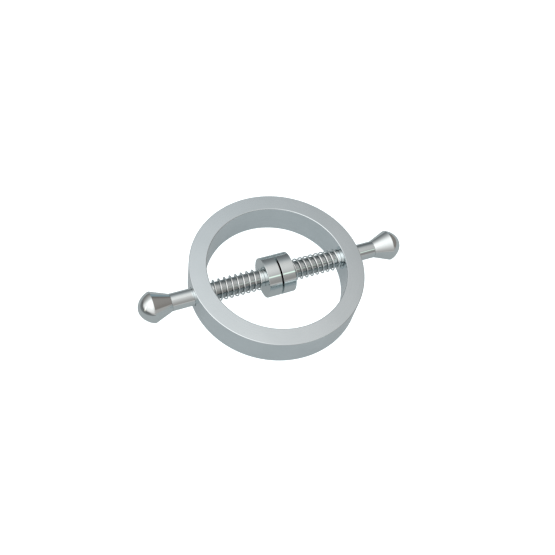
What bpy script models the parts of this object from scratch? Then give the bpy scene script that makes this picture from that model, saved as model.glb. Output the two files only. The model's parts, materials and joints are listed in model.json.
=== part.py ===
"""Spring-loaded ring clamp: a flat ring with two opposed plungers on one diameter.

Each plunger is a rod that slides and turns in a hole through the ring wall. It carries a pull knob
outside the ring and a round jaw pad inside it, and a compression spring round the rod pushes the
pad towards the other pad. The origin is at the centre of the ring, where the pads meet, with the
plungers along X and the ring's axis along Z.
"""

import math

import bmesh
import bpy

MM = 0.001

# Ring
RING_OUTER_R = 15.0 * MM
RING_INNER_R = 12.0 * MM
RING_HEIGHT = 5.7 * MM
RING_EDGE_ROUND = 0.15 * MM
RING_STEPS = 96

# Plunger, with distances along its axis measured from the centre of the ring
ROD_R = 1.5 * MM
GUIDE_HOLE_R = 1.58 * MM
PAD_FACE_X = 0.15 * MM
PAD_BACK_X = 2.45 * MM
PAD_R = 3.5 * MM
PAD_CHAMFER = 0.1 * MM
KNOB_NECK_X = 18.75 * MM
KNOB_EDGE_X = 21.85 * MM
KNOB_TIP_X = 24.2 * MM
KNOB_EDGE_R = 2.7 * MM
DOME_POWER = 1.4
DOME_POINTS = 9
TURNED_STEPS = 48

# The rod's reduced ends, which the pad and the knob are fixed on
SPIGOT_R = 1.0 * MM
SPIGOT_CHAMFER = 0.15 * MM
PAD_SPIGOT_LENGTH = 1.4 * MM
KNOB_SPIGOT_LENGTH = 2.6 * MM
SOCKET_SLACK = 0.1 * MM
SHOULDER_GAP = 0.02 * MM

# Compression spring
WIRE_R = 0.135 * MM
COIL_R = 1.79 * MM
SPRING_TURNS = 9
SPRING_END_GAP = 0.03 * MM
POINTS_PER_TURN = 16

# Colours and roughness of the finishes
STEEL = (0.60, 0.63, 0.64, 1.0)
CHROME = (0.72, 0.72, 0.71, 1.0)
SPRING_STEEL = (0.52, 0.54, 0.54, 1.0)
SATIN = 0.25
POLISHED = 0.08
DRAWN = 0.15

SHARP_ANGLE = math.radians(30)
MERGE_DISTANCE = 1e-7
DRILL_LENGTH = 2.5 * RING_OUTER_R

SIDES = {"left": -1, "right": 1}


def clear_scene():
    for item in list(bpy.data.objects):
        bpy.data.objects.remove(item, do_unlink=True)


def new_collection(name):
    collection = bpy.data.collections.new(name)
    bpy.context.scene.collection.children.link(collection)
    return collection


def metal(name, colour, roughness):
    material = bpy.data.materials.new(name)
    material.use_nodes = True
    shader = material.node_tree.nodes["Principled BSDF"]
    shader.inputs["Base Color"].default_value = colour
    shader.inputs["Roughness"].default_value = roughness
    shader.inputs["Metallic"].default_value = 1.0
    return material


def smooth(mesh):
    mesh.shade_smooth()
    mesh.set_sharp_from_angle(angle=SHARP_ANGLE)


def turned(name, profile, steps, collection, closed=False):
    """A solid turned about its own Z from a profile of (radius, height), top to bottom."""
    mesh = bpy.data.meshes.new(name)
    shape = bmesh.new()
    points = [shape.verts.new((radius, 0.0, height)) for radius, height in profile]
    for start, end in zip(points, points[1:]):
        shape.edges.new((start, end))
    if closed:
        shape.edges.new((points[-1], points[0]))
    shape.to_mesh(mesh)
    shape.free()
    item = bpy.data.objects.new(name, mesh)
    collection.objects.link(item)
    screw = item.modifiers.new("turn", "SCREW")
    screw.axis = "Z"
    screw.steps = steps
    screw.render_steps = steps
    screw.use_merge_vertices = True
    screw.merge_threshold = MERGE_DISTANCE
    screw.use_smooth_shade = True
    return item


def lay_along_x(item, side):
    """Turns a piece's own Z to point outward along X; its origin stays on the plunger's axis."""
    item.rotation_euler = (0.0, side * math.pi / 2, 0.0)


def make_ring(collection, cutters, material):
    half = RING_HEIGHT / 2
    outer = RING_OUTER_R
    inner = RING_INNER_R
    edge = RING_EDGE_ROUND
    profile = [
        (inner + edge, half),
        (outer - edge, half),
        (outer, half - edge),
        (outer, edge - half),
        (outer - edge, -half),
        (inner + edge, -half),
        (inner, edge - half),
        (inner, half - edge),
    ]
    ring = turned("ring", profile, RING_STEPS, collection, closed=True)
    bpy.ops.mesh.primitive_cylinder_add(
        vertices=TURNED_STEPS,
        radius=GUIDE_HOLE_R,
        depth=DRILL_LENGTH,
        rotation=(0.0, math.pi / 2, 0.0),
    )
    drill = bpy.context.object
    drill.name = "guide_hole_cutter"
    drill.hide_render = True
    drill.display_type = "WIRE"
    for owner in list(drill.users_collection):
        owner.objects.unlink(drill)
    cutters.objects.link(drill)
    cut = ring.modifiers.new("guide_holes", "BOOLEAN")
    cut.operation = "DIFFERENCE"
    cut.solver = "EXACT"
    cut.object = drill
    ring.data.materials.append(material)
    return ring


def make_rod(side_name, side, collection, material):
    """A round shaft with a reduced spigot at each end, for the pad and for the knob."""
    neck = KNOB_NECK_X - SHOULDER_GAP
    back = PAD_BACK_X + SHOULDER_GAP
    outer_end = neck + KNOB_SPIGOT_LENGTH
    inner_end = back - PAD_SPIGOT_LENGTH
    chamfer = SPIGOT_CHAMFER
    profile = [
        (0.0, outer_end),
        (SPIGOT_R - chamfer, outer_end),
        (SPIGOT_R, outer_end - chamfer),
        (SPIGOT_R, neck),
        (ROD_R, neck),
        (ROD_R, back),
        (SPIGOT_R, back),
        (SPIGOT_R, inner_end + chamfer),
        (SPIGOT_R - chamfer, inner_end),
        (0.0, inner_end),
    ]
    rod = turned(side_name + "_rod", profile, TURNED_STEPS, collection)
    lay_along_x(rod, side)
    rod.data.materials.append(material)
    return rod


def make_knob(side_name, side, collection, material):
    """A cone that flares outward to a crisp edge and closes in a dome, on a blind socket."""
    dome = []
    for step in range(DOME_POINTS):
        share = 1.0 - (step / DOME_POINTS) ** 2
        radius = KNOB_EDGE_R * math.sqrt(1.0 - share**DOME_POWER)
        dome.append((radius, KNOB_EDGE_X + share * (KNOB_TIP_X - KNOB_EDGE_X)))
    socket_r = SPIGOT_R + SOCKET_SLACK
    socket_end = KNOB_NECK_X + KNOB_SPIGOT_LENGTH + SOCKET_SLACK
    profile = dome + [
        (KNOB_EDGE_R, KNOB_EDGE_X),
        (ROD_R, KNOB_NECK_X),
        (socket_r, KNOB_NECK_X),
        (socket_r, socket_end),
        (0.0, socket_end),
    ]
    knob = turned(side_name + "_knob", profile, TURNED_STEPS, collection)
    lay_along_x(knob, side)
    knob.data.materials.append(material)
    return knob


def make_pad(side_name, side, collection, material):
    """A round jaw with chamfered rims and a blind socket in its back for the rod's spigot."""
    socket_r = SPIGOT_R + SOCKET_SLACK
    socket_end = PAD_BACK_X - PAD_SPIGOT_LENGTH - SOCKET_SLACK
    chamfer = PAD_CHAMFER
    profile = [
        (0.0, socket_end),
        (socket_r, socket_end),
        (socket_r, PAD_BACK_X),
        (PAD_R - chamfer, PAD_BACK_X),
        (PAD_R, PAD_BACK_X - chamfer),
        (PAD_R, PAD_FACE_X + chamfer),
        (PAD_R - chamfer, PAD_FACE_X),
        (0.0, PAD_FACE_X),
    ]
    pad = turned(side_name + "_jaw_pad", profile, TURNED_STEPS, collection)
    lay_along_x(pad, side)
    pad.data.materials.append(material)
    return pad


def make_spring(side_name, side, collection, material):
    """A coil from the pad's back to the ring's inner wall; the two coils are mirror images."""
    start = PAD_BACK_X + WIRE_R + SPRING_END_GAP
    end = math.sqrt(RING_INNER_R**2 - (COIL_R + WIRE_R) ** 2) - WIRE_R - SPRING_END_GAP
    count = SPRING_TURNS * POINTS_PER_TURN
    curve = bpy.data.curves.new(side_name + "_spring", "CURVE")
    curve.dimensions = "3D"
    curve.bevel_depth = WIRE_R
    curve.bevel_resolution = 2
    curve.use_fill_caps = True
    spline = curve.splines.new("POLY")
    spline.points.add(count)
    for index, point in enumerate(spline.points):
        angle = 2.0 * math.pi * index / POINTS_PER_TURN
        along = start + (end - start) * index / count
        point.co = (side * along, COIL_R * math.sin(angle), -COIL_R * math.cos(angle), 1.0)
    spring = bpy.data.objects.new(side_name + "_spring", curve)
    collection.objects.link(spring)
    curve.materials.append(material)
    return spring


def main():
    clear_scene()
    collection = new_collection("spring_ring_clamp")
    cutters = new_collection("cutters")
    steel = metal("satin_steel", STEEL, SATIN)
    chrome = metal("polished_chrome", CHROME, POLISHED)
    spring_steel = metal("spring_steel", SPRING_STEEL, DRAWN)
    make_ring(collection, cutters, steel)
    for side_name, side in SIDES.items():
        make_rod(side_name, side, collection, chrome)
        make_knob(side_name, side, collection, chrome)
        make_pad(side_name, side, collection, chrome)
        make_spring(side_name, side, collection, spring_steel)
    bpy.context.view_layer.update()
    for item in collection.objects:
        if item.type == "MESH":
            smooth(item.data)


main()
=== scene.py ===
"""Spring-loaded ring clamp: the fine surface, the materials, the studio and the camera.

A flat ring carries two plungers on one diameter, each with a knob, a rod, a jaw pad and a spring.
Each visible piece stands for one CAD node and takes its main sizes from that node's box. All lengths
are metres in the frame of the CAD, with the plungers along X and the ring's axis along Z.
"""

import json
import math
from collections import namedtuple

import bmesh
import bpy
from mathutils import Matrix, Vector


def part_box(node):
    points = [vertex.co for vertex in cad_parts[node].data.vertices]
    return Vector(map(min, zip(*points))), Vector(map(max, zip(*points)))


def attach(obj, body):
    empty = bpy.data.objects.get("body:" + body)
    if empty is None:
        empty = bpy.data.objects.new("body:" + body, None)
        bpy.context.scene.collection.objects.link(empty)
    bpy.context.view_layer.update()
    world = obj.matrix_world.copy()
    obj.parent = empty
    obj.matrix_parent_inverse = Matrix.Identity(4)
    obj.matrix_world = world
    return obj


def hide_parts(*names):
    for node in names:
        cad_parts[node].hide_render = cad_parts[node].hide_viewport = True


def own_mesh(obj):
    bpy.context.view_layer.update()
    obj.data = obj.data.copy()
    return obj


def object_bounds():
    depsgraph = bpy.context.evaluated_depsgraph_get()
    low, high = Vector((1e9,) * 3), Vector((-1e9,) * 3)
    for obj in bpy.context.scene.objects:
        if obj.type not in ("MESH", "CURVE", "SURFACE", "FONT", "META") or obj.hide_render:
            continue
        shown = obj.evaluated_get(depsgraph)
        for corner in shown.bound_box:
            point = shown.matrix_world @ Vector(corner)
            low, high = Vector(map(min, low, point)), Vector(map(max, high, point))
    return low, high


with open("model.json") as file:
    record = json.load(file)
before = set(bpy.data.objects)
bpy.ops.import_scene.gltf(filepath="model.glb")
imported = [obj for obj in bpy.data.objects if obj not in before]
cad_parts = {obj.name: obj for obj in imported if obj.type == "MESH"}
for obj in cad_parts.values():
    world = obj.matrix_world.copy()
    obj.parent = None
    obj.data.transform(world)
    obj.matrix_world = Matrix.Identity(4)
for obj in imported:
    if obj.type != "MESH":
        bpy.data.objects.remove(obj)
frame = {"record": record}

MM = 0.001
SIDES = {"left": -1, "right": 1}

# Fineness of the surfaces. A fillet's support point lies beside it, at this share of its radius.
RING_STEPS = 288
TURNED_STEPS = 128
FILLET_STEPS = 6
SUPPORT = 0.3
DOME_STEPS = 36
COIL_STEPS = 64
WIRE_SIDES = 20
MERGE = 1e-8
SHARP_ANGLE = math.radians(30)
WIRE_CREASE = math.radians(45)
HOLE_WALL_LEAN = 0.1

# Shapes that the boxes of the nodes don't give
RING_EDGE_ROUND = 0.14 * MM
GUIDE_HOLE_R = 1.58 * MM
DRILL_OVERSHOOT = 1.2
PAD_FILLET = 0.07 * MM
ROD_FILLET = 0.02 * MM
SPIGOT_R = 1.0 * MM
SPIGOT_CHAMFER = 0.15 * MM
SOCKET_R = 1.1 * MM
SOCKET_DEPTH_SLACK = 0.1 * MM
SHOULDER_GAP = 0.02 * MM
PAD_SPIGOT_LENGTH = 1.4 * MM
KNOB_SPIGOT_LENGTH = 2.6 * MM
KNOB_EDGE_X = 21.85 * MM
KNOB_EDGE_FILLET = 0.05 * MM
DOME_POWER = 1.4
WIRE_R = 0.135 * MM
SPRING_TURNS = 9
SPRING_END_GAP = 0.03 * MM

# Camera, as an orbit round a point close to the ring's centre
CAMERA_AIM = Vector((0.09, -0.63, 0.0)) * MM
CAMERA_DISTANCE = 122.14 * MM
CAMERA_AZIMUTH = math.radians(-33.66)
CAMERA_ELEVATION = math.radians(56.78)
CAMERA_ROLL = math.radians(14.21)
CAMERA_LENS = 46.07
CAMERA_SENSOR = 36.0
CAMERA_NEAR = 0.001
CAMERA_FAR = 10.0

# Metals: linear colours, ranges of roughness, and depths of the working marks
STEEL_LIGHT = (0.805, 0.868, 0.893)
STEEL_DARK = (0.754, 0.820, 0.843)
STEEL_ROUGHNESS = (0.07, 0.13)
STEEL_RELIEF = 0.15e-6
CHROME_LIGHT = (0.787, 0.834, 0.837)
CHROME_DARK = (0.735, 0.786, 0.793)
CHROME_ROUGHNESS = (0.03, 0.08)
CHROME_RELIEF = 0.10e-6
WIRE_LIGHT = (0.920, 0.950, 0.950)
WIRE_DARK = (0.860, 0.895, 0.900)
WIRE_ROUGHNESS = (0.05, 0.10)
WIRE_RELIEF = 0.10e-6

# Patterns on the metals: noise scales per metre, and the spans of noise that a change covers
FINE_MARKS = 9000.0
MARKS_ALONG_X_TURN = 500.0
MARKS_ALONG_Z_TURN = 150.0
EVEN_MARKS = 3000.0
STREAK_DETAIL = 3.0
SMEAR_SCALE = 260.0
SMEAR_DETAIL = 4.0
SPECK_SCALE = 2400.0
SPECK_DETAIL = 2.0
TINT_SPAN = (0.3, 0.7)
SMEAR_SHARE = 0.6
STREAK_SHARE = 0.4
GLOSS_SPAN = (0.35, 0.7)
SPECK_SPAN = (0.55, 0.8)

# Painted shade on the stretch of each rod under its spring, by distance from the ring's centre
PAINTED_SHADE_FROM = 3.1 * MM
PAINTED_SHADE_TO = 11.3 * MM
PAINTED_SHADE_INNER_FADE = 0.3 * MM
PAINTED_SHADE_OUTER_FADE = 0.9 * MM
PAINTED_SHADE_FACTOR = 0.60

# Table. Its glow fades to the left between two places along X.
FLOOR_RADIUS = 2.0
FLOOR_STEPS = 64
FLOOR_GAP = 0.02 * MM
FLOOR_COLOUR = (0.18, 0.187, 0.19)
FLOOR_GLOW = (0.290, 0.310, 0.316)
FLOOR_FADE = (-33.0 * MM, -48.0 * MM)
FLOOR_DIM = 0.2
BACKDROP_BOOST = 3.5

# Studio. An edge is (line, dark, lit): going along the line through the sphere of directions, the
# light is gone at the first reach and full at the second. A patch is lit where all its edges are.
X = (1.0, 0.0, 0.0)
Y = (0.0, 1.0, 0.0)
Z = (0.0, 0.0, 1.0)
WHITE = (1.0, 1.0, 1.0)

# The sky overhead, with its front half dimmed at the left and lifted at the right
SKY_LINE = (-0.384, 0.063, 1.0)
SKY_POWER = 2.556
SKY_STRENGTH = 0.706
SKY_DIM_EDGES = ((Y, 0.0, -0.3), (X, -0.05, 0.1))
SKY_DIM = -0.3
SKY_LIFT_EDGES = ((Y, 0.0, -0.3), (X, 0.1, 0.5))
SKY_LIFT = 0.6

# The room's walls: (from, to, light at from, light at to) along X and along Y, and dusk at the left
WALL_ACROSS = (0.2, 0.5, 0.352, 0.245)
WALL_DEPTH = (0.4, 0.75, 1.0, 0.58)
DUSK_EDGES = ((X, -0.6, -0.85), (Z, 0.28, 0.08))
DUSK = 0.85
RIGHT_WALL_EDGES = ((X, 0.5, 0.65),)
BACK_WALL_EDGES = ((Y, 0.3, 0.7), (X, -0.3, 0.1))
WALL_TINTS = ((1.05, 1.0, 0.97), (0.93, 1.0, 1.04), (1.08, 0.97, 0.91))

# The lamps and cards, with the lines across their narrow sides
CARD_TOP = (-0.25, 0.0, 1.0)
STRIP_SLOPE = math.radians(52.5)
STRIP_WIDTH = (0.0, math.sin(STRIP_SLOPE), math.cos(STRIP_SLOPE))
LAMP_WIDTH = (0.0, 1.0, -0.5)

Light = namedtuple("Light", "tint strength edges")
LIGHTS = (
    # Soft box at the left
    Light(
        (1.03, 1.0, 0.99),
        0.42,
        ((X, -0.05, -0.6), (Z, 0.0, 0.3), (Y, 0.6, 0.2)),
    ),
    # Low white card in front, which rises to the right
    Light(
        (0.97, 1.0, 1.02),
        0.193,
        ((Y, -0.45, -0.6), (CARD_TOP, 0.20, 0.10)),
    ),
    # Low blue card behind, at the right
    Light(
        (0.53, 0.85, 1.0),
        0.234,
        ((Y, 0.58, 0.74), (X, 0.42, 0.55), (Z, 0.42, 0.26)),
    ),
    # Narrow strip above the white card, at the right
    Light(
        (0.74, 1.0, 0.82),
        0.70,
        ((STRIP_WIDTH, -0.085, -0.035), (STRIP_WIDTH, 0.085, 0.035), (X, 0.21, 0.27), (X, 0.60, 0.52)),
    ),
    # Small warm upright lamp at the left, near the table
    Light(
        (1.0, 0.95, 0.82),
        0.75,
        ((LAMP_WIDTH, -0.29, -0.23), (LAMP_WIDTH, -0.11, -0.17), (X, -0.88, -0.93)),
    ),
)


def corner_fillet(before, corner, after, radius):
    """Points of an arc that rounds the corner between two straight lines, in the plane.

    A point on each line close to the arc keeps the faces beyond it flat in the shading.
    """
    if radius == 0.0:
        return [corner]
    back = (before - corner).normalized()
    forth = (after - corner).normalized()
    half = back.angle(forth) / 2
    middle = corner + (back + forth).normalized() * (radius / math.sin(half))
    start = corner + back * (radius / math.tan(half)) - middle
    end = corner + forth * (radius / math.tan(half)) - middle
    sweep = start.angle_signed(end)
    points = [middle + start + back * (radius * SUPPORT)]
    for step in range(FILLET_STEPS + 1):
        turn = Matrix.Rotation(-sweep * step / FILLET_STEPS, 2)
        points.append(middle + turn @ start)
    points.append(middle + end + forth * (radius * SUPPORT))
    return points


def rounded(corners, closed=False):
    """An outline from corners of (radius, height, fillet); an open one keeps its two ends."""
    places = [Vector(corner[:2]) for corner in corners]
    fillets = [corner[2] for corner in corners]
    last = len(corners) - 1
    outline = []
    for index, place in enumerate(places):
        if not closed and index in (0, last):
            outline.append(place)
            continue
        before = places[index - 1]
        after = places[(index + 1) % len(places)]
        outline.extend(corner_fillet(before, place, after, fillets[index]))
    return outline


def turned_mesh(name, outline, steps, closed=False):
    """A mesh turned about Z from points of (radius, height)."""
    shape = bmesh.new()
    points = [shape.verts.new((place[0], 0.0, place[1])) for place in outline]
    edges = [shape.edges.new(pair) for pair in zip(points, points[1:])]
    if closed:
        edges.append(shape.edges.new((points[-1], points[0])))
    bmesh.ops.spin(
        shape,
        geom=points + edges,
        cent=(0.0, 0.0, 0.0),
        axis=(0.0, 0.0, 1.0),
        angle=2.0 * math.pi,
        steps=steps,
        use_merge=True,
    )
    bmesh.ops.remove_doubles(shape, verts=shape.verts, dist=MERGE)
    bmesh.ops.recalc_face_normals(shape, faces=shape.faces)
    mesh = bpy.data.meshes.new(name)
    shape.to_mesh(mesh)
    shape.free()
    mesh.shade_smooth()
    mesh.set_sharp_from_angle(angle=SHARP_ANGLE)
    return mesh


def new_piece(name, mesh, material):
    piece = bpy.data.objects.new(name, mesh)
    bpy.context.scene.collection.objects.link(piece)
    mesh.materials.append(material)
    return piece


def plunger_piece(name, outline, side, material):
    """A turned piece laid along X."""
    mesh = turned_mesh(name, outline, TURNED_STEPS)
    mesh.transform(Matrix.Rotation(side * math.pi / 2, 4, "Y"))
    return new_piece(name, mesh, material)


def stand_in(piece, node, body):
    """The piece shows in place of the CAD node and moves with the body."""
    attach(piece, body)
    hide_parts(node)


def reach(node):
    """How far a plunger's node lies from the centre along X, nearest and farthest, and its radius."""
    low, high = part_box(node)
    near, far = sorted((abs(low.x), abs(high.x)))
    return near, far, high.z


# Ring


def ring_sizes():
    """Outer radius, inner radius and height; the first mount lies halfway across the ring's face."""
    low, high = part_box("ring")
    outer = high.x
    middle = -frame["record"]["mounts"][0]["pos_m"][1]
    inner = 2.0 * middle - outer
    return outer, inner, high.z - low.z


def drill_outline():
    """A rod that reaches past the ring at both ends."""
    end = DRILL_OVERSHOOT * ring_sizes()[0]
    return [(0.0, end), (GUIDE_HOLE_R, end), (GUIDE_HOLE_R, -end), (0.0, -end)]


def drilled(piece):
    """Cuts the two guide holes through the ring along X and returns the new mesh."""
    bore = turned_mesh("guide_drill", drill_outline(), TURNED_STEPS)
    bore.transform(Matrix.Rotation(math.pi / 2, 4, "Y"))
    drill = bpy.data.objects.new("guide_drill", bore)
    bpy.context.scene.collection.objects.link(drill)
    cut = piece.modifiers.new("guide_holes", "BOOLEAN")
    cut.operation = "DIFFERENCE"
    cut.solver = "EXACT"
    cut.object = drill
    graph = bpy.context.evaluated_depsgraph_get()
    mesh = bpy.data.meshes.new_from_object(piece.evaluated_get(graph))
    piece.modifiers.clear()
    bpy.data.objects.remove(drill)
    return mesh


def ring_normal(place, outer, inner, height):
    """The normal of the ring's rounded rectangular section at a point on its surface."""
    radius = math.hypot(place.x, place.y)
    across = radius - (outer + inner) / 2
    half_width = (outer - inner) / 2 - RING_EDGE_ROUND
    half_height = height / 2 - RING_EDGE_ROUND
    out = across - max(-half_width, min(half_width, across))
    up = place.z - max(-half_height, min(half_height, place.z))
    length = math.hypot(out, up)
    return Vector((place.x / radius * out, place.y / radius * out, up)) / length


def set_ring_normals(mesh):
    """Gives every corner of the drilled ring the normal of the true surface it lies on.

    A face belongs to a guide hole if it lies within the hole's radius and hardly faces along X.
    """
    sizes = ring_sizes()
    normals = []
    for face in mesh.polygons:
        centre = face.center
        depth = math.hypot(centre.y, centre.z)
        in_hole = depth < GUIDE_HOLE_R and abs(face.normal.x) < HOLE_WALL_LEAN
        for index in face.vertices:
            place = mesh.vertices[index].co
            if in_hole:
                normals.append(Vector((0.0, -place.y, -place.z)).normalized())
            else:
                normals.append(ring_normal(place, *sizes))
    mesh.shade_smooth()
    mesh.normals_split_custom_set(normals)


def make_ring(material):
    outer, inner, height = ring_sizes()
    half = height / 2
    edge = RING_EDGE_ROUND
    corners = [
        (inner, half, edge),
        (outer, half, edge),
        (outer, -half, edge),
        (inner, -half, edge),
    ]
    mesh = turned_mesh("ring_surface", rounded(corners, closed=True), RING_STEPS, closed=True)
    piece = new_piece("ring_body", mesh, material)
    piece.data = drilled(piece)
    set_ring_normals(piece.data)
    stand_in(piece, "ring", "ring")


# Plungers


def make_rod(side_name, side, material):
    """A shaft with a reduced spigot at each end."""
    inner_end, outer_end, radius = reach(side_name + "_rod")
    back = reach(side_name + "_jaw_pad")[1] + SHOULDER_GAP
    neck = reach(side_name + "_knob")[0] - SHOULDER_GAP
    corners = [
        (0.0, outer_end, 0.0),
        (SPIGOT_R - SPIGOT_CHAMFER, outer_end, 0.0),
        (SPIGOT_R, outer_end - SPIGOT_CHAMFER, 0.0),
        (SPIGOT_R, neck, 0.0),
        (radius, neck, ROD_FILLET),
        (radius, back, ROD_FILLET),
        (SPIGOT_R, back, 0.0),
        (SPIGOT_R, inner_end + SPIGOT_CHAMFER, 0.0),
        (SPIGOT_R - SPIGOT_CHAMFER, inner_end, 0.0),
        (0.0, inner_end, 0.0),
    ]
    piece = plunger_piece(side_name + "_rod_shaft", rounded(corners), side, material)
    stand_in(piece, side_name + "_rod", side_name + "_plunger")


def make_knob(side_name, side, material):
    """A cone that flares to a crisp edge and closes in a dome, on a blind socket."""
    neck, tip, edge_r = reach(side_name + "_knob")
    neck_r = reach(side_name + "_rod")[2]
    socket_end = neck + KNOB_SPIGOT_LENGTH + SOCKET_DEPTH_SLACK
    corners = []
    for step in range(DOME_STEPS):
        share = 1.0 - (step / DOME_STEPS) ** 2
        radius = edge_r * math.sqrt(1.0 - share**DOME_POWER)
        corners.append((radius, KNOB_EDGE_X + share * (tip - KNOB_EDGE_X), 0.0))
    corners += [
        (edge_r, KNOB_EDGE_X, KNOB_EDGE_FILLET),
        (neck_r, neck, ROD_FILLET),
        (SOCKET_R, neck, 0.0),
        (SOCKET_R, socket_end, 0.0),
        (0.0, socket_end, 0.0),
    ]
    piece = plunger_piece(side_name + "_knob_head", rounded(corners), side, material)
    stand_in(piece, side_name + "_knob", side_name + "_plunger")


def make_pad(side_name, side, material):
    """A round jaw with softened rims and a blind socket in its back."""
    face, back, radius = reach(side_name + "_jaw_pad")
    socket_end = back - PAD_SPIGOT_LENGTH - SOCKET_DEPTH_SLACK
    corners = [
        (0.0, socket_end, 0.0),
        (SOCKET_R, socket_end, 0.0),
        (SOCKET_R, back, 0.0),
        (radius, back, PAD_FILLET),
        (radius, face, PAD_FILLET),
        (0.0, face, 0.0),
    ]
    piece = plunger_piece(side_name + "_jaw", rounded(corners), side, material)
    stand_in(piece, side_name + "_jaw_pad", side_name + "_plunger")


# Springs


def wire_group(material):
    """Geometry nodes that draw a round wire on a line, so that a squashed coil keeps its gauge."""
    group = bpy.data.node_groups.new("round_wire", "GeometryNodeTree")
    group.interface.new_socket(name="Line", in_out="INPUT", socket_type="NodeSocketGeometry")
    group.interface.new_socket(name="Wire", in_out="OUTPUT", socket_type="NodeSocketGeometry")
    nodes = group.nodes
    links = group.links
    start = nodes.new("NodeGroupInput")
    end = nodes.new("NodeGroupOutput")
    line = nodes.new("GeometryNodeMeshToCurve")
    section = nodes.new("GeometryNodeCurvePrimitiveCircle")
    section.inputs["Resolution"].default_value = WIRE_SIDES
    section.inputs["Radius"].default_value = WIRE_R
    sweep = nodes.new("GeometryNodeCurveToMesh")
    sweep.inputs["Fill Caps"].default_value = True
    bend = nodes.new("GeometryNodeInputMeshEdgeAngle")
    gentle = nodes.new("FunctionNodeCompare")
    gentle.operation = "LESS_THAN"
    gentle.inputs["B"].default_value = WIRE_CREASE
    soft = nodes.new("GeometryNodeSetShadeSmooth")
    soft.domain = "EDGE"
    paint = nodes.new("GeometryNodeSetMaterial")
    paint.inputs["Material"].default_value = material
    links.new(start.outputs[0], line.inputs["Mesh"])
    links.new(line.outputs["Curve"], sweep.inputs["Curve"])
    links.new(section.outputs["Curve"], sweep.inputs["Profile Curve"])
    links.new(sweep.outputs["Mesh"], soft.inputs["Geometry"])
    links.new(bend.outputs["Unsigned Angle"], gentle.inputs["A"])
    links.new(gentle.outputs["Result"], soft.inputs["Shade Smooth"])
    links.new(soft.outputs["Geometry"], paint.inputs["Geometry"])
    links.new(paint.outputs["Geometry"], end.inputs[0])
    return group


def make_spring(side_name, side, group, material):
    """A coil from the pad's back to the ring's inner wall; the two coils are mirror images.

    The mesh is the wire's centre line alone, fixed to the ring. The real spring squashes towards its
    outer end as the plunger is pulled, until it is as long as the gap that is left between the pad and
    the ring; nothing here squashes the mesh.
    """
    low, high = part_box(side_name + "_spring")
    coil_r = high.y - WIRE_R
    pad_back = reach(side_name + "_jaw_pad")[1]
    start = pad_back + WIRE_R + SPRING_END_GAP
    end = max(abs(low.x), abs(high.x)) - WIRE_R
    count = SPRING_TURNS * COIL_STEPS
    points = []
    for index in range(count + 1):
        angle = 2.0 * math.pi * index / COIL_STEPS
        along = start + (end - start) * index / count
        points.append((side * along, coil_r * math.sin(angle), -coil_r * math.cos(angle)))
    mesh = bpy.data.meshes.new(side_name + "_coil")
    mesh.from_pydata(points, [(index, index + 1) for index in range(count)], [])
    piece = new_piece(side_name + "_coil", mesh, material)
    wire = piece.modifiers.new("round_wire", "NODES")
    wire.node_group = group
    stand_in(piece, side_name + "_spring", "ring")
    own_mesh(piece)


# Materials


def maths(tree, operation, first, second=None):
    node = tree.nodes.new("ShaderNodeMath")
    node.operation = operation
    for socket, value in zip(node.inputs, (first, second)):
        if isinstance(value, bpy.types.NodeSocket):
            tree.links.new(value, socket)
        elif value is not None:
            socket.default_value = value
    return node.outputs["Value"]


def product(tree, *values):
    result = values[0]
    for value in values[1:]:
        result = maths(tree, "MULTIPLY", result, value)
    return result


def ramp(tree, value, low, high, bottom=0.0, top=1.0):
    """A smooth change from bottom to top as the value goes from low to high."""
    node = tree.nodes.new("ShaderNodeMapRange")
    node.interpolation_type = "SMOOTHSTEP"
    tree.links.new(value, node.inputs["Value"])
    node.inputs["From Min"].default_value = low
    node.inputs["From Max"].default_value = high
    node.inputs["To Min"].default_value = bottom
    node.inputs["To Max"].default_value = top
    return node.outputs["Result"]


def noise(tree, vector, scale, detail):
    node = tree.nodes.new("ShaderNodeTexNoise")
    node.inputs["Scale"].default_value = scale
    node.inputs["Detail"].default_value = detail
    tree.links.new(vector, node.inputs["Vector"])
    return node.outputs["Fac"]


def scaled(tree, vector, scale):
    node = tree.nodes.new("ShaderNodeVectorMath")
    node.operation = "MULTIPLY"
    tree.links.new(vector, node.inputs[0])
    node.inputs[1].default_value = scale
    return node.outputs["Vector"]


def separated(tree, vector):
    node = tree.nodes.new("ShaderNodeSeparateXYZ")
    tree.links.new(vector, node.inputs["Vector"])
    return node.outputs


def marks_round_x(tree, place):
    """Coordinates for turning marks: fine along X, long round it."""
    return scaled(tree, place, (FINE_MARKS, MARKS_ALONG_X_TURN, MARKS_ALONG_X_TURN))


def marks_round_z(tree, place):
    """Coordinates for turning marks that run round Z, on the flat faces and on the walls."""
    parts = separated(tree, place)
    length = tree.nodes.new("ShaderNodeVectorMath")
    length.operation = "LENGTH"
    tree.links.new(scaled(tree, place, (1.0, 1.0, 0.0)), length.inputs[0])
    out = product(tree, length.outputs["Value"], FINE_MARKS)
    up = product(tree, parts["Z"], FINE_MARKS)
    join = tree.nodes.new("ShaderNodeCombineXYZ")
    tree.links.new(maths(tree, "ADD", out, up), join.inputs["X"])
    tree.links.new(product(tree, parts["X"], MARKS_ALONG_Z_TURN), join.inputs["Y"])
    tree.links.new(product(tree, parts["Y"], MARKS_ALONG_Z_TURN), join.inputs["Z"])
    return join.outputs["Vector"]


def marks_everywhere(tree, place):
    return scaled(tree, place, (EVEN_MARKS, EVEN_MARKS, EVEN_MARKS))


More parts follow.
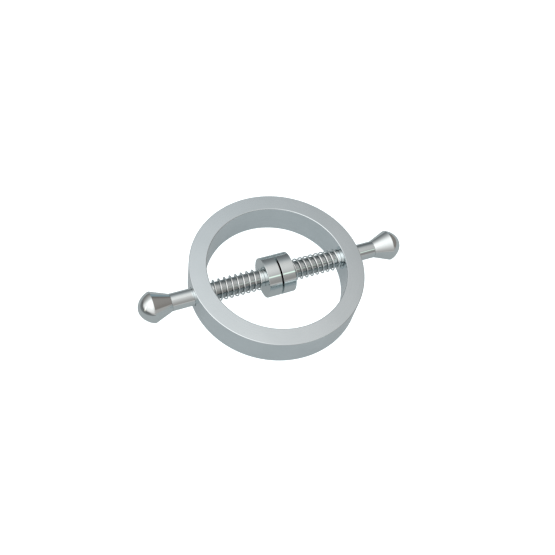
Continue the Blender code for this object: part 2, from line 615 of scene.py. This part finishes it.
def coil_painted_shade(tree, place):
    """Painted shade: darkens the colour of the stretch of a rod under its spring, where the coils
    shade it.
    """
    along_rod = maths(tree, "ABSOLUTE", separated(tree, place)["X"])
    begins = ramp(tree, along_rod, PAINTED_SHADE_FROM - PAINTED_SHADE_INNER_FADE, PAINTED_SHADE_FROM + PAINTED_SHADE_INNER_FADE)
    ends = ramp(tree, along_rod, PAINTED_SHADE_TO + PAINTED_SHADE_OUTER_FADE, PAINTED_SHADE_TO - PAINTED_SHADE_OUTER_FADE)
    return ramp(tree, product(tree, begins, ends), 0.0, 1.0, 1.0, PAINTED_SHADE_FACTOR)


def metal(name, light, dark, roughness, marks, relief, painted_shade=None):
    """Bare polished metal with faint working marks, handling smears and a little tarnish; the last
    argument, if given, paints shade into its colour.
    """
    material = bpy.data.materials.new(name)
    material.use_nodes = True
    tree = material.node_tree
    shader = tree.nodes["Principled BSDF"]
    shader.inputs["Metallic"].default_value = 1.0
    place = tree.nodes.new("ShaderNodeTexCoord").outputs["Object"]
    streaks = noise(tree, marks(tree, place), 1.0, STREAK_DETAIL)
    smears = noise(tree, place, SMEAR_SCALE, SMEAR_DETAIL)
    specks = noise(tree, place, SPECK_SCALE, SPECK_DETAIL)
    tint = tree.nodes.new("ShaderNodeMix")
    tint.data_type = "RGBA"
    tint.inputs["A"].default_value = (*dark, 1.0)
    tint.inputs["B"].default_value = (*light, 1.0)
    cloud = ramp(tree, smears, *TINT_SPAN, 0.0, SMEAR_SHARE)
    lines = ramp(tree, streaks, *TINT_SPAN, 0.0, STREAK_SHARE)
    tree.links.new(maths(tree, "ADD", cloud, lines), tint.inputs["Factor"])
    colour = tint.outputs["Result"]
    # Painted shade: the mask darkens the colour, standing in for the shade of the coils on the rod.
    if painted_shade:
        shade = tree.nodes.new("ShaderNodeVectorMath")
        shade.operation = "SCALE"
        tree.links.new(colour, shade.inputs[0])
        tree.links.new(painted_shade(tree, place), shade.inputs["Scale"])
        colour = shade.outputs["Vector"]
    tree.links.new(colour, shader.inputs["Base Color"])
    low, high = roughness
    gloss = ramp(tree, smears, *GLOSS_SPAN, low, high)
    grit = ramp(tree, specks, *SPECK_SPAN, 0.0, (high - low) / 2)
    tree.links.new(maths(tree, "ADD", gloss, grit), shader.inputs["Roughness"])
    bump = tree.nodes.new("ShaderNodeBump")
    bump.inputs["Strength"].default_value = 1.0
    bump.inputs["Distance"].default_value = relief
    tree.links.new(streaks, bump.inputs["Height"])
    tree.links.new(bump.outputs["Normal"], shader.inputs["Normal"])
    return material


# Studio


def make_floor():
    """A plain pale table just under the lowest point of the object, overexposed to white."""
    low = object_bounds()[0]
    bpy.ops.mesh.primitive_circle_add(
        vertices=FLOOR_STEPS,
        radius=FLOOR_RADIUS,
        fill_type="NGON",
        location=(0.0, 0.0, low.z - FLOOR_GAP),
    )
    floor = bpy.context.object
    floor.name = "floor"
    material = bpy.data.materials.new("pale_table")
    material.use_nodes = True
    tree = material.node_tree
    shader = tree.nodes["Principled BSDF"]
    shader.inputs["Base Color"].default_value = (*FLOOR_COLOUR, 1.0)
    shader.inputs["Roughness"].default_value = 1.0
    shader.inputs["Specular IOR Level"].default_value = 0.0
    shader.inputs["Emission Color"].default_value = (*FLOOR_GLOW, 1.0)
    place = tree.nodes.new("ShaderNodeTexCoord").outputs["Object"]
    pool = ramp(tree, separated(tree, place)["X"], *FLOOR_FADE, 1.0, FLOOR_DIM)
    seen = tree.nodes.new("ShaderNodeLightPath").outputs["Is Camera Ray"]
    glow = maths(tree, "ADD", product(tree, seen, BACKDROP_BOOST), pool)
    tree.links.new(glow, shader.inputs["Emission Strength"])
    floor.data.materials.append(material)


def reach_along(tree, sky, line):
    """How far the direction reaches along a line."""
    node = tree.nodes.new("ShaderNodeVectorMath")
    node.operation = "DOT_PRODUCT"
    tree.links.new(sky, node.inputs[0])
    node.inputs[1].default_value = line
    return node.outputs["Value"]


def patch(tree, sky, edges):
    """1 in the patch of sky that the edges bound, fading to 0 across each of them."""
    fades = [ramp(tree, reach_along(tree, sky, line), dark, lit) for line, dark, lit in edges]
    return product(tree, *fades)


def soft_sky(tree, sky):
    """A large soft light overhead that leans to the left; its front half is brighter at the right."""
    lean = maths(tree, "MAXIMUM", reach_along(tree, sky, SKY_LINE), 0.0)
    dim = product(tree, patch(tree, sky, SKY_DIM_EDGES), SKY_DIM)
    lift = product(tree, patch(tree, sky, SKY_LIFT_EDGES), SKY_LIFT)
    slant = maths(tree, "ADD", maths(tree, "ADD", dim, lift), 1.0)
    return product(tree, maths(tree, "POWER", lean, SKY_POWER), SKY_STRENGTH, slant)


def room_walls(tree, sky):
    """The light of the room's walls at the left and in front, at the back, and on the right."""
    across = ramp(tree, reach_along(tree, sky, X), *WALL_ACROSS)
    depth = ramp(tree, reach_along(tree, sky, Y), *WALL_DEPTH)
    dusk = product(tree, patch(tree, sky, DUSK_EDGES), DUSK)
    fill = product(tree, across, depth, maths(tree, "SUBTRACT", 1.0, dusk))
    right = patch(tree, sky, RIGHT_WALL_EDGES)
    rest = maths(tree, "SUBTRACT", 1.0, right)
    back = patch(tree, sky, BACK_WALL_EDGES)
    front = maths(tree, "SUBTRACT", 1.0, back)
    return [
        product(tree, fill, rest, front),
        product(tree, fill, rest, back),
        product(tree, fill, right),
    ]


def tinted(tree, value, colour):
    node = tree.nodes.new("ShaderNodeVectorMath")
    node.operation = "SCALE"
    node.inputs[0].default_value = colour
    tree.links.new(value, node.inputs["Scale"])
    return node.outputs["Vector"]


def added(tree, first, second):
    node = tree.nodes.new("ShaderNodeVectorMath")
    node.operation = "ADD"
    tree.links.new(first, node.inputs[0])
    tree.links.new(second, node.inputs[1])
    return node.outputs["Vector"]


def studio_colour(tree, sky):
    """The colour of the light that reaches the object from each direction."""
    light = tinted(tree, soft_sky(tree, sky), WHITE)
    for wall, tint in zip(room_walls(tree, sky), WALL_TINTS):
        light = added(tree, light, tinted(tree, wall, tint))
    for lamp in LIGHTS:
        glow = product(tree, patch(tree, sky, lamp.edges), lamp.strength)
        light = added(tree, light, tinted(tree, glow, lamp.tint))
    return light


def make_studio_light():
    """Soft light from all round. The backdrop itself is plain white where the camera looks at it."""
    world = bpy.data.worlds.new("studio")
    bpy.context.scene.world = world
    world.use_nodes = True
    tree = world.node_tree
    tree.nodes.clear()
    sky = tree.nodes.new("ShaderNodeTexCoord").outputs["Generated"]
    studio = tree.nodes.new("ShaderNodeBackground")
    tree.links.new(studio_colour(tree, sky), studio.inputs["Color"])
    plain = tree.nodes.new("ShaderNodeBackground")
    plain.inputs["Color"].default_value = (*WHITE, 1.0)
    rays = tree.nodes.new("ShaderNodeLightPath")
    either = tree.nodes.new("ShaderNodeMixShader")
    tree.links.new(rays.outputs["Is Camera Ray"], either.inputs["Fac"])
    tree.links.new(studio.outputs["Background"], either.inputs[1])
    tree.links.new(plain.outputs["Background"], either.inputs[2])
    end = tree.nodes.new("ShaderNodeOutputWorld")
    tree.links.new(either.outputs["Shader"], end.inputs["Surface"])


def make_camera():
    level = math.cos(CAMERA_ELEVATION)
    back = Vector(
        (
            math.sin(CAMERA_AZIMUTH) * level,
            -math.cos(CAMERA_AZIMUTH) * level,
            math.sin(CAMERA_ELEVATION),
        )
    )
    right = Vector((math.cos(CAMERA_AZIMUTH), math.sin(CAMERA_AZIMUTH), 0.0))
    up = back.cross(right)
    across = right * math.cos(CAMERA_ROLL) + up * math.sin(CAMERA_ROLL)
    axes = Matrix((across, back.cross(across), back)).transposed()
    data = bpy.data.cameras.new("camera")
    data.lens = CAMERA_LENS
    data.sensor_width = CAMERA_SENSOR
    data.clip_start = CAMERA_NEAR
    data.clip_end = CAMERA_FAR
    camera = bpy.data.objects.new("camera", data)
    bpy.context.scene.collection.objects.link(camera)
    camera.matrix_world = Matrix.Translation(CAMERA_AIM + back * CAMERA_DISTANCE) @ axes.to_4x4()
    bpy.context.scene.camera = camera


def main():
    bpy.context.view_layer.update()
    steel = metal(
        "ring_steel", STEEL_LIGHT, STEEL_DARK, STEEL_ROUGHNESS, marks_round_z, STEEL_RELIEF
    )
    chrome = metal(
        "plunger_chrome", CHROME_LIGHT, CHROME_DARK, CHROME_ROUGHNESS, marks_round_x, CHROME_RELIEF
    )
    wire = metal(
        "spring_wire", WIRE_LIGHT, WIRE_DARK, WIRE_ROUGHNESS, marks_everywhere, WIRE_RELIEF
    )
    # The rods' chrome has painted shade under the springs.
    painted_shade_chrome = metal(
        "rod_chrome_painted_shade",
        CHROME_LIGHT,
        CHROME_DARK,
        CHROME_ROUGHNESS,
        marks_round_x,
        CHROME_RELIEF,
        coil_painted_shade,
    )
    group = wire_group(wire)
    make_ring(steel)
    for side_name, side in SIDES.items():
        make_rod(side_name, side, painted_shade_chrome)
        make_knob(side_name, side, chrome)
        make_pad(side_name, side, chrome)
        make_spring(side_name, side, group, wire)
    make_floor()
    make_studio_light()
    make_camera()
    bpy.context.scene.view_settings.view_transform = "Standard"


main()
